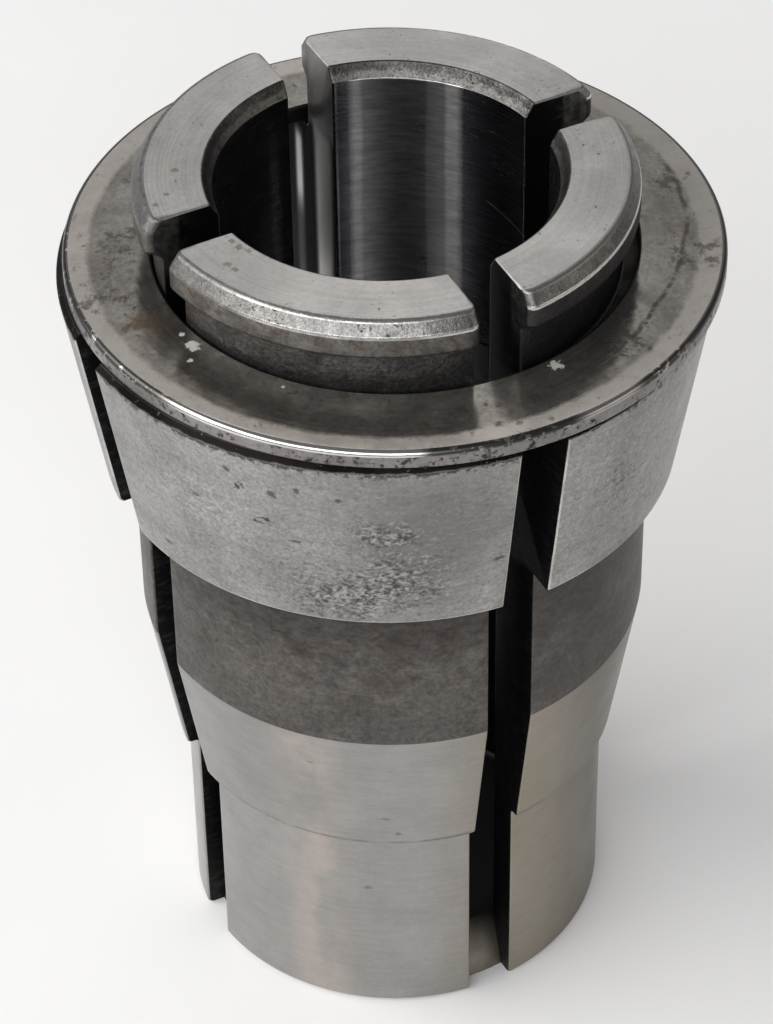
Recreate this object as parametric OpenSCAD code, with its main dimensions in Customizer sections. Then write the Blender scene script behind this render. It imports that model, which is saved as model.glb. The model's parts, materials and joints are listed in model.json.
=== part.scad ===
// Spring collet for a lathe, with its loose captive ring.
// The body is turned from one bar, ground on two cones of the same angle, split from the nose
// by sawn slots that run out just above the tail, and left joined there as one piece.
// The ring lies on the shoulder of the head and is kept by the lip of the nose.
// Origin: centre of the tail's flat end. +Z runs up the bar to the nose. All sizes in mm.

/* [Bore] */
// Diameter of the bar that the jaws grip
bore_d = 25.4; // [22:0.1:27]
// Length of the gripping land in the jaws
grip_length = 24; // [18:0.1:34]
// Widening of the mouth, on the radius
mouth_break = 0.7; // [0.3:0.05:1.2]
// Depth of the mouth's bevel
mouth_depth = 1.15; // [0.5:0.05:2]
// Depth of the relief behind the gripping land, on the radius
relief_depth = 1.3; // [0.8:0.05:1.6]

/* [Tail and rear cone] */
// Diameter of the ground tail
tail_d = 33.9; // [33:0.1:35.2]
// Length of the ground tail
tail_length = 19.5; // [14:0.1:28]
// Length of the ground rear cone
rear_cone_length = 13.2; // [9:0.1:16]
// Half angle of both ground cones, in degrees
cone_angle = 8.7; // [6:0.1:10.5]

/* [Neck and head] */
// Diameter of the dark neck left between the cones
neck_d = 39.7; // [38.4:0.1:41]
// Length of the neck
neck_length = 14.55; // [9:0.05:22]
// Largest diameter of the head
head_d = 49.2; // [47:0.1:52]
// Length of the head, from its foot to the face under the ring
head_length = 17.25; // [13:0.05:22]
// Bevel round the top of the head
head_break = 0.45; // [0.2:0.05:1]
// Bevel round the foot of the head and the ends of the tail
foot_break = 0.3; // [0.1:0.05:0.6]

/* [Nose] */
// Diameter of the groove that the ring lies in
groove_d = 34.7; // [33.6:0.1:35.4]
// Width of the groove at its wall
groove_width = 4.4; // [3.4:0.1:6]
// Diameter of the lip that keeps the ring
lip_d = 37.3; // [36.9:0.1:39]
// Width of the straight land round the lip
lip_land = 1.7; // [1:0.1:3]
// Height of the lip's sloping underside
lip_undercut = 0.7; // [0.3:0.05:1.2]
// Height of the bevel round the top of the nose
nose_bevel_height = 1.1; // [0.5:0.05:1.6]
// Width of the bevel round the top of the nose, on the radius
nose_bevel_width = 0.75; // [0.3:0.05:1.2]

/* [Slots] */
// Number of slots, and of jaws
slot_count = 4; // [3:1:6]
// Width of a slot
slot_width = 3.7; // [2:0.1:4.5]
// Diameter of the saw that cuts the slots
saw_d = 120; // [104:1:150]
// Height of the saw's centre above the tail's end where a slot stops
saw_stop = 19.7; // [18:0.1:24]
// How far inside the bore's wall the saw reaches
saw_overcut = 0.5; // [0.3:0.05:0.8]

/* [Captive ring] */
// How far the ring's rim stands out past the head's edge, on the radius
ring_overhang = 0; // [-1.5:0.1:1.5]
// Thickness of the ring
ring_thickness = 1.5; // [1:0.1:2.2]
// Play between the ring and the groove when centred, on the radius
ring_play = 0.7; // [0.3:0.05:0.9]
// Gap left where the ring lies off centre against the groove
ring_side_gap = 0.15; // [0.1:0.01:0.25]
// Direction in which the ring lies off centre, in degrees from +X
ring_lean = 18.6; // [0:0.1:360]
// Bevel on the ring's outer edges
ring_edge = 0.35; // [0.1:0.05:0.45]

/* [Hidden] */
turn_fn = 180;
saw_fn = 360;
through = 1;
steel = [0.62, 0.61, 0.59];
ring_steel = [0.70, 0.69, 0.66];

bore_r = bore_d / 2;
relief_r = bore_r + relief_depth;
tail_r = tail_d / 2;
neck_r = neck_d / 2;
head_r = head_d / 2;
groove_r = groove_d / 2;
lip_r = lip_d / 2;
cone_slope = tan(cone_angle);

// Heights above the tail's end, from the tail up
cone_foot_z = tail_length;
neck_foot_z = cone_foot_z + rear_cone_length;
head_foot_z = neck_foot_z + neck_length;
shoulder_z = head_foot_z + head_length;
undercut_z = shoulder_z + groove_width;
lip_foot_z = undercut_z + lip_undercut;
lip_top_z = lip_foot_z + lip_land;
nose_z = lip_top_z + nose_bevel_height;
land_top_z = nose_z - mouth_depth;
land_foot_z = land_top_z - grip_length;

cone_foot_r = neck_r - rear_cone_length * cone_slope;
head_foot_r = head_r - (head_length - head_break - foot_break) * cone_slope;
saw_floor_r = bore_r - saw_overcut;

ring_d = head_d + 2 * ring_overhang;
ring_bore_d = groove_d + 2 * ring_play;
ring_shift = ring_play - ring_side_gap;

// Half section of the body, outside first and then back down the bore
module body_section() {
    polygon([
        [relief_r + foot_break, 0],
        [tail_r - foot_break, 0],
        [tail_r, foot_break],
        [tail_r, cone_foot_z],
        [cone_foot_r, cone_foot_z],
        [neck_r, neck_foot_z],
        [neck_r, head_foot_z],
        [head_foot_r - foot_break, head_foot_z],
        [head_foot_r, head_foot_z + foot_break],
        [head_r, shoulder_z - head_break],
        [head_r - head_break, shoulder_z],
        [groove_r, shoulder_z],
        [groove_r, undercut_z],
        [lip_r, lip_foot_z],
        [lip_r, lip_top_z],
        [lip_r - nose_bevel_width, nose_z],
        [bore_r + mouth_break, nose_z],
        [bore_r, land_top_z],
        [bore_r, land_foot_z],
        [relief_r, land_foot_z - relief_depth],
        [relief_r, foot_break]
    ]);
}

// One slot, sawn along the body and left where the saw stopped, so its end follows the saw's rim
module slot() {
    translate([saw_floor_r, -slot_width / 2, saw_stop])
        cube([head_r, slot_width, nose_z - saw_stop + through]);
    translate([saw_floor_r + saw_d / 2, slot_width / 2, saw_stop])
        rotate([90, 0, 0])
            cylinder(d = saw_d, h = slot_width, $fn = saw_fn);
}

module collet_body() {
    color(steel)
        difference() {
            rotate_extrude($fn = turn_fn)
                body_section();
            for (i = [0 : slot_count - 1])
                rotate([0, 0, (i + 0.5) * 360 / slot_count])
                    slot();
        }
}

// Half section of the ring, bevelled on its outer edges and a little on the inner ones
module ring_section() {
    inner = ring_bore_d / 2;
    outer = ring_d / 2;
    inner_edge = ring_edge / 2;
    polygon([
        [inner + inner_edge, 0],
        [outer - ring_edge, 0],
        [outer, ring_edge],
        [outer, ring_thickness - ring_edge],
        [outer - ring_edge, ring_thickness],
        [inner + inner_edge, ring_thickness],
        [inner, ring_thickness - inner_edge],
        [inner, inner_edge]
    ]);
}

module captive_ring() {
    color(ring_steel)
        translate([ring_shift * cos(ring_lean), ring_shift * sin(ring_lean), shoulder_z])
            rotate_extrude($fn = turn_fn)
                ring_section();
}

collet_body();
captive_ring();
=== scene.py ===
"""Looks of a spring collet for a lathe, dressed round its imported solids.

Lengths are in millimetres and MM turns them to metres. The collet stands on its tail at the origin with
its nose up +Z. Each slot is sawn on a diagonal, so a jaw faces each of +X, -X, +Y and -Y.
"""
import json
import logging
import math
from dataclasses import dataclass
from enum import Enum
from functools import reduce
from typing import Any, Callable, Iterable, Sequence

import bmesh
import bpy
from mathutils import Matrix, Vector

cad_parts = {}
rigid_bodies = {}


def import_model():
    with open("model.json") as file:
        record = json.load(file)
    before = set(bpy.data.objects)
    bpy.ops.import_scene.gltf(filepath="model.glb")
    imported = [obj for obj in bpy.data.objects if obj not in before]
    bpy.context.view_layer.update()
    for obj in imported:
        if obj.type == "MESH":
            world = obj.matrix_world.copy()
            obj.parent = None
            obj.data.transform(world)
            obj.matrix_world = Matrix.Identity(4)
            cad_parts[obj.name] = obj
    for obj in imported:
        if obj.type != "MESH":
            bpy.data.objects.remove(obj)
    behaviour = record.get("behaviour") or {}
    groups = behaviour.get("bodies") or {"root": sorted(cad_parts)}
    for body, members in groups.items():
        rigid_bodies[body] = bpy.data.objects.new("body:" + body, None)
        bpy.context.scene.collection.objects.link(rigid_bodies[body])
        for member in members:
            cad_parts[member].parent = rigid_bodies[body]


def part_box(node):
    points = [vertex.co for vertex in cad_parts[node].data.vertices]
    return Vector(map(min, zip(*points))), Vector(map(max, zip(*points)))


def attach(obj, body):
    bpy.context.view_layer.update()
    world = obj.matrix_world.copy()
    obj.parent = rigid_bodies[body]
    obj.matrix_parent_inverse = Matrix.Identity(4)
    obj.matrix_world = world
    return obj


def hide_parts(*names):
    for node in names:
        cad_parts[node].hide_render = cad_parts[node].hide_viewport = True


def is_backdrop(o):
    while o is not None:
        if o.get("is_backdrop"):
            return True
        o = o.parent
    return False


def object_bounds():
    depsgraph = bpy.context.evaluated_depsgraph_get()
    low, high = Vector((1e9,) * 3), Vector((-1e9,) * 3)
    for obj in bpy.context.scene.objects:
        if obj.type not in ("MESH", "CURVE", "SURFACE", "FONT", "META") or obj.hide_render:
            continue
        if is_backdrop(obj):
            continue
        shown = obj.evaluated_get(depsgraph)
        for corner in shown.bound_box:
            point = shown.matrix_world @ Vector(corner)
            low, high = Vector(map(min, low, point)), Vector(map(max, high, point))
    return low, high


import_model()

CAD_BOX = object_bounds()
MM = 0.001
PHOTO_HEIGHT = 1024
NOSE_FACE, RING_FACE = 72.4, 66.0
# Level direction that runs to the right in the photograph
ACROSS_X, ACROSS_Y = 0.948, 0.319
# Sockets of a Mix node that mixes colours
MIX_FACTOR, MIX_FIRST, MIX_SECOND, MIX_RESULT = 0, 6, 7, 2

Colour = tuple[float, float, float]
Vertex = bmesh.types.BMVert
log = logging.getLogger("collet")


class Value:
    """A value socket that Python's operators extend with Math nodes."""

    def __init__(self, graph: "Graph", socket: bpy.types.NodeSocket | None) -> None:
        """Keeps the graph and the socket."""
        self.graph = graph
        self.socket = socket

    def math(self, operation: str, *others: "Level") -> "Value":
        """Applies a Math node with this value first."""
        return self.graph.math(operation, self, *others)

    def __add__(self, other: "Level") -> "Value":
        """Adds."""
        return self.math("ADD", other)

    __radd__ = __add__

    def __sub__(self, other: "Level") -> "Value":
        """Subtracts."""
        return self.math("SUBTRACT", other)

    def __rsub__(self, other: float) -> "Value":
        """Subtracts from a number."""
        return self.graph.math("SUBTRACT", other, self)

    def __mul__(self, other: "Level") -> "Value":
        """Multiplies."""
        return self.math("MULTIPLY", other)

    __rmul__ = __mul__

    def __truediv__(self, other: "Level") -> "Value":
        """Divides."""
        return self.math("DIVIDE", other)

    def __pow__(self, other: "Level") -> "Value":
        """Raises to a power."""
        return self.math("POWER", other)

    def ramp(self, low: float, high: float) -> "Value":
        """Rises smoothly from 0 at low to 1 at high, or falls where low is the larger.

        Args:
            low: Value that gives 0.
            high: Value that gives 1.
        Returns:
            The smoothed value.
        """
        start, end = sorted((low, high))
        risen = self.graph.node("ShaderNodeMapRange", {"interpolation_type": "SMOOTHSTEP"},
                                {"Value": self, "From Min": start, "From Max": end})
        return risen if low < high else 1 - risen

    def most(self, other: "Level") -> "Value":
        """Takes the larger of two values."""
        return self.math("MAXIMUM", other)

    def least(self, other: "Level") -> "Value":
        """Takes the smaller of two values."""
        return self.math("MINIMUM", other)

    def size(self) -> "Value":
        """Drops the sign."""
        return self.math("ABSOLUTE")

    def within(self, low: float, high: float, soft: float) -> "Value":
        """Gives 1 from low to high and 0 outside, and fades over soft either side of both."""
        return self.ramp(low - soft, low + soft) * self.ramp(high + soft, high - soft)


Level = Value | float


class Graph:
    """The node tree of one material, with one method that makes every node."""

    def __init__(self, name: str) -> None:
        """Makes an empty material.

        Args:
            name: The material's name.
        """
        self.material = bpy.data.materials.new(name)
        self.material.use_nodes = True
        self.tree = self.material.node_tree
        self.tree.nodes.clear()

    def node(self, kind: str, settings: dict[str, Any] | None = None, inputs: dict[Any, Any] | None = None,
             output: int | str = 0) -> Value:
        """Makes a node, sets it up and fills its sockets.

        Args:
            kind: The node's type.
            settings: Properties to set first.
            inputs: Values or links, by socket name or number.
            output: Name or number of the output to return.
        Returns:
            The chosen output.
        """
        made = self.tree.nodes.new(kind)
        for key, value in (settings or {}).items():
            setattr(made, key, value)
        for key, value in (inputs or {}).items():
            if isinstance(value, Value):
                self.tree.links.new(value.socket, made.inputs[key])
            elif isinstance(value, tuple) and made.inputs[key].type == "RGBA":
                made.inputs[key].default_value = (*value, 1.0)
            else:
                made.inputs[key].default_value = value
        return Value(self, made.outputs[output] if made.outputs else None)

    def math(self, operation: str, *values: Level) -> Value:
        """Makes a Math node."""
        return self.node("ShaderNodeMath", {"operation": operation}, dict(enumerate(values)))

    def vector(self, x: Level, y: Level, z: Level) -> Value:
        """Joins three values to a vector."""
        return self.node("ShaderNodeCombineXYZ", None, {0: x, 1: y, 2: z})

    def mix(self, factor: Level, first: Value | Colour, second: Value | Colour) -> Value:
        """Mixes two colours."""
        return self.node("ShaderNodeMix", {"data_type": "RGBA"},
                         {MIX_FACTOR: factor, MIX_FIRST: first, MIX_SECOND: second}, MIX_RESULT)

    def dim(self, colour: Value | Colour, tone: Value) -> Value:
        """Multiplies a colour by a tone."""
        grey = self.vector(tone, tone, tone)
        return self.node("ShaderNodeVectorMath", {"operation": "MULTIPLY"}, {0: colour, 1: grey})

    def noise(self, where: Value, scale: float, detail: float = 3.0, rough: float = 0.55,
              swirl: float = 0.0) -> Value:
        """Reads fractal noise.

        Args:
            where: The vector to read it at.
            scale: Features per unit of the vector.
            detail: Number of octaves.
            rough: Weight of the finer octaves.
            swirl: How far the pattern is warped.
        Returns:
            The noise, about 0.5 on average.
        """
        return self.node("ShaderNodeTexNoise", None, {
            "Vector": where, "Scale": scale, "Detail": detail, "Roughness": rough, "Distortion": swirl})

    def finish(self, inputs: dict[str, Any]) -> bpy.types.Material:
        """Ends the tree with a Principled shader.

        Args:
            inputs: What feeds the shader's sockets.
        Returns:
            The finished material.
        """
        shader = self.node("ShaderNodeBsdfPrincipled", None, inputs)
        self.node("ShaderNodeOutputMaterial", None, {"Surface": shader})
        return self.material


class Place:
    """Coordinates of a surface in millimetres, plain and round the axis, and the noise read at them."""

    def __init__(self, graph: Graph, centre: tuple[float, float] = (0.0, 0.0)) -> None:
        """Reads the coordinates.

        Args:
            graph: The material's graph.
            centre: Where the axis of the turned piece stands.
        """
        raw = graph.node("ShaderNodeTexCoord", output="Object")
        self.graph = graph
        self.point = graph.node("ShaderNodeVectorMath", {"operation": "SCALE"}, {0: raw, "Scale": 1 / MM})
        self.x, self.y, self.z = (
            graph.node("ShaderNodeSeparateXYZ", None, {0: self.point}, axis) for axis in "XYZ")
        east, north = self.x - centre[0], self.y - centre[1]
        self.radius = (east * east + north * north).math("SQRT")
        self.angle = north.math("ARCTAN2", east)

    def right(self) -> Value:
        """Measures how far right of the axis a point stands in the photograph."""
        return self.x * ACROSS_X + self.y * ACROSS_Y

    def near(self) -> Value:
        """Measures how far in front of the axis a point stands in the photograph."""
        return self.x * ACROSS_Y - self.y * ACROSS_X

    def stretched(self, flat: float, tall: float) -> Value:
        """Scales the coordinates across the axis and along it."""
        return self.graph.vector(self.x * flat, self.y * flat, self.z * tall)

    def ringed(self, out: float, flat: float) -> Value:
        """Scales the coordinates so that a pattern runs in circles on a flat end, broken up by flat."""
        return self.graph.vector(self.radius * out, self.x * flat, self.y * flat)

    def along(self, flat: float, tall: float) -> Value:
        """Scales the coordinates so that a pattern runs in upright streaks, at a radius of 10."""
        return self.graph.vector(self.angle * (10.0 * flat), self.z * tall, 0.0)

    def noise(self, *pattern: float) -> Value:
        """Reads noise of a scale, detail, roughness and swirl."""
        return self.graph.noise(self.point, *pattern)

    def streaks(self, flat: float, tall: float, *pattern: float) -> Value:
        """Reads noise of a scale across the axis and one along it, then a detail, roughness and swirl."""
        return self.graph.noise(self.stretched(flat, tall), 1.0, *pattern)


@dataclass(frozen=True)
class Spot:
    """A round or oval area of a surface where a finish differs."""

    x: float
    y: float
    z: float
    reach: float
    height: float = 0.0
    ragged: float = 0.0

    def mask(self, place: Place, edge: float = 0.5) -> Value:
        """Gives 1 inside the area and 0 outside it.

        Args:
            place: Coordinates of the surface.
            edge: Share of the reach over which the mask fades.
        Returns:
            The mask.
        """
        across = ((place.x - self.x) ** 2.0 + (place.y - self.y) ** 2.0) / self.reach ** 2
        up = (place.z - self.z) ** 2.0 / (self.height or self.reach) ** 2
        far = (across + up).math("SQRT")
        if self.ragged:
            far = far + (place.noise(1.4 / self.reach, 4.0, 0.6) - 0.5) * (2 * self.ragged)
        return far.ramp(1.0, 1.0 - edge)


def level_spots(z: float, ragged: float, *places: tuple[float, float, float]) -> list[Spot]:
    """Lists spots of one raggedness on a level face, by their x, y and reach."""
    return [Spot(x, y, z, reach, 3.0, ragged) for x, y, reach in places]


class Grain(Enum):
    """Which way the tool marks of a finish run."""

    ROUND = "round the axis"
    FACING = "in circles on a flat end"
    ALONG = "along the axis"
    NONE = "none"


# Range of the patina's noise where its patches have firmer edges
FIRM = (0.42, 0.62)


@dataclass(frozen=True)
class Steel:
    """A worn steel surface: its metal, tool marks, patina, pits and stains."""

    name: str
    bright: Colour
    dull: Colour
    roughness: float
    grain: Grain = Grain.ROUND
    grain_pitch: float = 0.2
    grain_depth: float = 0.002
    grain_tone: float = 0.08
    patina_size: float = 6.0
    patina: tuple[float, float] = (0.3, 0.7)
    rough_patina: float = 0.08
    pit_size: float = 0.35
    pit_limit: float = 0.72
    pit_soft: float = 0.07
    pit_depth: float = 0.03
    pit_colour: Colour = (0.035, 0.03, 0.026)
    pit_spots: tuple[Spot, ...] = ()
    pit_gain: float = 0.14
    pit_cover: float = 0.85
    pit_drift: float = 0.16
    mottle_size: float = 1.0
    mottle: float = 0.1
    speckle_size: float = 0.35
    speckle: float = 0.12
    stain: Colour = (0.16, 0.12, 0.085)
    stain_share: float = 0.0
    stain_size: float = 4.0
    lump_size: float = 0.3
    lump_depth: float = 0.0
    metal: float = 1.0
    centre: tuple[float, float] = (0.0, 0.0)
    extra: tuple[Callable[["Surface"], None], ...] = ()

    def material(self) -> bpy.types.Material:
        """Builds the material, the plain steel first and then what the extra steps lay over it.

        Returns:
            The finished material.
        """
        surface = Surface(self)
        for step in self.extra:
            step(surface)
        return surface.finish()


class Surface:
    """The maps of one steel finish while they are being worked out."""

    def __init__(self, steel: Steel) -> None:
        """Works out the colour, roughness and height of the plain finish.

        Args:
            steel: The finish.
        """
        self.steel = steel
        self.graph = Graph(steel.name)
        self.place = place = Place(self.graph, steel.centre)
        marks = self._marks() - 0.5
        patina = place.noise(1 / steel.patina_size, 5.0, 0.6, 0.4).ramp(*steel.patina)
        fine = place.noise(1 / steel.speckle_size, 3.0, 0.6, 0.3) - 0.5
        blotch = place.noise(1 / steel.mottle_size, 5.0, 0.65, 0.5) - 0.5
        self.colour = self.graph.mix(patina, steel.bright, steel.dull)
        tone = 1 + marks * (2 * steel.grain_tone) + fine * (2 * steel.speckle)
        self.shade(tone + blotch * (2 * steel.mottle))
        self.rough = steel.roughness + patina * steel.rough_patina + marks * 0.1
        self.height = marks * steel.grain_depth
        self.metal: Level = steel.metal
        self._pits()
        if steel.lump_depth:
            lumps = place.noise(1 / steel.lump_size, 3.0, 0.6) - 0.5
            self.height = self.height + lumps * (2 * steel.lump_depth)
        if steel.stain_share:
            low = 0.62 - 0.3 * steel.stain_share
            stains = place.noise(1 / steel.stain_size, 6.0, 0.65, 0.6).ramp(low, low + 0.12)
            self.paint(stains * 0.75, steel.stain)

    def _marks(self) -> Value:
        """Reads the tool marks.

        Returns:
            The marks, 0 to 1.
        """
        place, grain, fine = self.place, self.steel.grain, 1 / self.steel.grain_pitch
        if grain is Grain.FACING:
            where = place.ringed(fine, 0.05)
        elif grain is Grain.ALONG:
            where = place.along(fine, 0.03)
        else:
            where = place.stretched(0.06 if grain is Grain.ROUND else fine, fine)
        return self.graph.noise(where, 1.0, 3.0, 0.65)

    def _pits(self) -> None:
        """Etches pits into the maps, more of them inside the spots."""
        steel, place = self.steel, self.place
        drift = place.noise(0.22, 2.0, 0.5) - 0.5
        drive = place.noise(1 / steel.pit_size, 5.0, 0.68, 0.1) + drift * steel.pit_drift
        for spot in steel.pit_spots:
            drive = drive + spot.mask(place, 0.8) * steel.pit_gain
        pits = drive.ramp(steel.pit_limit, steel.pit_limit + steel.pit_soft)
        self.paint(pits * steel.pit_cover, steel.pit_colour)
        self.rough = self.rough + pits * 0.25
        self.height = self.height - pits * steel.pit_depth

    def shade(self, tone: Value) -> None:
        """Multiplies the colour by a tone."""
        self.colour = self.graph.dim(self.colour, tone)

    def paint(self, factor: Value, colour: Colour, rough: float | None = None) -> None:
        """Lays a colour over the maps.

        Args:
            factor: Where it lies, 0 to 1.
            colour: The colour.
            rough: Its roughness, or none to keep the metal's.
        """
        self.colour = self.graph.mix(factor, self.colour, colour)
        if rough is not None:
            self.rough = self.rough * (1 - factor) + factor * rough

    def dot(self, spots: Iterable[Spot], edge: float, cover: float, colour: Colour, rough: float) -> None:
        """Paints a small mark at each of some spots.

        Args:
            spots: The spots.
            edge: Share of a spot's reach over which its mark fades.
            cover: How much a mark hides, 0 to 1.
            colour: The marks' colour.
            rough: Their roughness.
        """
        for spot in spots:
            self.paint(spot.mask(self.place, edge) * cover, colour, rough)

    def finish(self) -> bpy.types.Material:
        """Joins the maps to the shader.

        Returns:
            The finished material.
        """
        relief = {"Strength": 1.0, "Distance": MM, "Height": self.height}
        bump = self.graph.node("ShaderNodeBump", None, relief)
        return self.graph.finish({"Base Color": self.colour, "Roughness": self.rough.most(0.06).least(0.95),
                                  "Metallic": self.metal, "Normal": bump})


@dataclass(frozen=True)
class Corner:
    """A corner of a turned section, with its rounding and the finish of the side that follows it."""

    r: float
    z: float
    round: float = 0.0
    finish: str = ""
    arc: str = ""

    def at(self) -> Vector:
        """Gives its place in the section's plane."""
        return Vector((self.r, self.z))

    def toward(self, other: "Corner") -> Vector:
        """Gives the direction to another corner."""
        return (other.at() - self.at()).normalized()

    def cut(self, before: "Corner", after: "Corner") -> float:
        """Gives how far its rounding reaches along a side.

        Args:
            before: The corner before it.
            after: The corner after it.
        Returns:
            The length, 0 for a corner that isn't rounded.
        """
        one, two = (Vector((c.r - self.r, c.z - self.z)).normalized() for c in (before, after))
        half = math.acos(max(-1.0, min(1.0, one.dot(two)))) / 2
        return self.round / math.tan(half) if self.round else 0.0


@dataclass
class SectionPoint:
    """A point of a turned section, its normal into the metal and the finish of the side after it."""

    r: float
    z: float
    finish: str
    inward: tuple[float, float] = (0.0, 0.0)


class Section:
    """A closed turned section, run with the metal on its left.

    A rounding has ARC_STEPS stretches, a side has a point HOLD from each end, and the rest of its points
    stand STEP apart or less.
    """

    ARC_STEPS = 5
    HOLD = 0.12
    STEP = 2.0

    def __init__(self, corners: Sequence[Corner]) -> None:
        """Rounds the corners and divides the sides.

        Args:
            corners: The section's corners in order.
        """
        self.points: list[SectionPoint] = []
        count = len(corners)
        for i, corner in enumerate(corners):
            after = corners[(i + 1) % count]
            self._corner(corners[i - 1], corner, after)
            self._side(corner, after, corners[(i + 2) % count])
        self._normals()

    def _corner(self, before: Corner, corner: Corner, after: Corner) -> None:
        """Adds the points of one corner.

        Args:
            before: The corner before it.
            corner: The corner.
            after: The corner after it.
        """
        if not corner.round:
            self.points.append(SectionPoint(corner.r, corner.z, corner.finish))
            return
        one, two = corner.toward(before), corner.toward(after)
        cut, half = corner.cut(before, after), math.acos(one.dot(two)) / 2
        middle = corner.at() + (one + two).normalized() * (corner.round / math.sin(half))
        first, last = corner.at() + one * cut - middle, corner.at() + two * cut - middle
        turn = math.atan2(first.x * last.y - first.y * last.x, first.dot(last))
        for k in range(self.ARC_STEPS + 1):
            spot = middle + Matrix.Rotation(turn * k / self.ARC_STEPS, 2) @ first
            finish = corner.finish if k == self.ARC_STEPS else corner.arc or corner.finish
            self.points.append(SectionPoint(spot.x, spot.y, finish))

    def _side(self, corner: Corner, after: Corner, beyond: Corner) -> None:
        """Adds the points inside one side, with one near each end to hold the shading.

        Args:
            corner: The corner where it starts.
            after: The corner where it ends.
            beyond: The corner after that.
        """
        start = Vector((self.points[-1].r, self.points[-1].z))
        end = after.at() + after.toward(corner) * after.cut(corner, beyond)
        length = (end - start).length
        if length < 4 * self.HOLD:
            return
        parts = math.ceil(length / self.STEP)
        for place in (self.HOLD / length, *(k / parts for k in range(1, parts)), 1 - self.HOLD / length):
            spot = start.lerp(end, place)
            self.points.append(SectionPoint(spot.x, spot.y, corner.finish))

    def _normals(self) -> None:
        """Works out each point's normal into the metal."""
        count = len(self.points)
        for i, point in enumerate(self.points):
            before, after = self.points[i - 1], self.points[(i + 1) % count]
            one = Vector((point.r - before.r, point.z - before.z)).normalized()
            two = Vector((after.r - point.r, after.z - point.z)).normalized()
            along = (one + two).normalized()
            point.inward = (-along.y, along.x)


def add_object(name: str, data: bpy.types.ID) -> bpy.types.Object:
    """Makes an object of a mesh, a camera or a light and links it to the scene.

    Args:
        name: The object's name.
        data: What it shows.
    Returns:
        The object.
    """
    made = bpy.data.objects.new(name, data)
    bpy.context.scene.collection.objects.link(made)
    return made


class Mesher:
    """Collects faces by finish and makes one Blender object of them.

    Corners of a face nearer than TOUCH, in metres, are one, and so are vertices nearer than WELD. An edge
    bent by more than SHARP degrees stays sharp.
    """

    TOUCH = 1e-9
    WELD = 1e-7
    SHARP = 38.0

    def __init__(self, name: str, finishes: dict[str, Steel],
                 centre: tuple[float, float] = (0.0, 0.0)) -> None:
        """Starts an empty mesh.

        Args:
            name: The object's name.
            finishes: The finishes by the name that the faces use.
            centre: Where the axis of the turned piece stands.
        """
        self.name = name
        self.finishes = finishes
        self.centre = centre
        self.order = list(finishes)
        self.mesh = bmesh.new()

    def vertex(self, r: float, z: float, turn: float) -> Vertex:
        """Adds a vertex at a radius, a height and a turn round the axis."""
        x, y = self.centre[0] + r * math.cos(turn), self.centre[1] + r * math.sin(turn)
        return self.mesh.verts.new((x * MM, y * MM, z * MM))

    def arc(self, r: float, z: float, first: float, last: float, columns: int) -> list[Vertex]:
        """Adds a row of vertices from one turn to another."""
        return [self.vertex(r, z, first + (last - first) * k / columns) for k in range(columns + 1)]

    def face(self, corners: Sequence[Vertex], finish: str, smooth: bool = True) -> None:
        """Adds a face, unless its corners have run together.

        Args:
            corners: The face's vertices.
            finish: Name of its finish.
            smooth: Whether it shades smoothly.
        """
        kept: list[Vertex] = []
        for corner in corners:
            if not kept or (corner.co - kept[-1].co).length > self.TOUCH:
                kept.append(corner)
        if len(kept) > 1 and (kept[0].co - kept[-1].co).length <= self.TOUCH:
            kept.pop()
        if len(kept) < 3:
            return
        made = self.mesh.faces.new(kept)
        made.smooth = smooth
        made.material_index = self.order.index(finish)

    def grid(self, rows: Sequence[Sequence[Vertex]], finishes: Sequence[str]) -> None:
        """Joins rows of vertices with quads.

        Args:
            rows: Rows of equal length.
            finishes: The finish of each strip between two rows.
        """
        for one, two, finish in zip(rows[:-1], rows[1:], finishes):
            for k in range(len(one) - 1):
                self.face((one[k], one[k + 1], two[k + 1], two[k]), finish)

    def object(self) -> bpy.types.Object:
        """Welds the mesh and makes the object.

        Returns:
            The object, dressed with its materials.
        """
        bmesh.ops.remove_doubles(self.mesh, verts=self.mesh.verts, dist=self.WELD)
        bmesh.ops.recalc_face_normals(self.mesh, faces=self.mesh.faces)
        data = bpy.data.meshes.new(self.name)
        self.mesh.to_mesh(data)
        self.mesh.free()
        data.set_sharp_from_angle(angle=math.radians(self.SHARP))
        for key in self.order:
            data.materials.append(self.finishes[key].material())
        log.info("%s: %d faces", self.name, len(data.polygons))
        return add_object(self.name, data)


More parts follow.
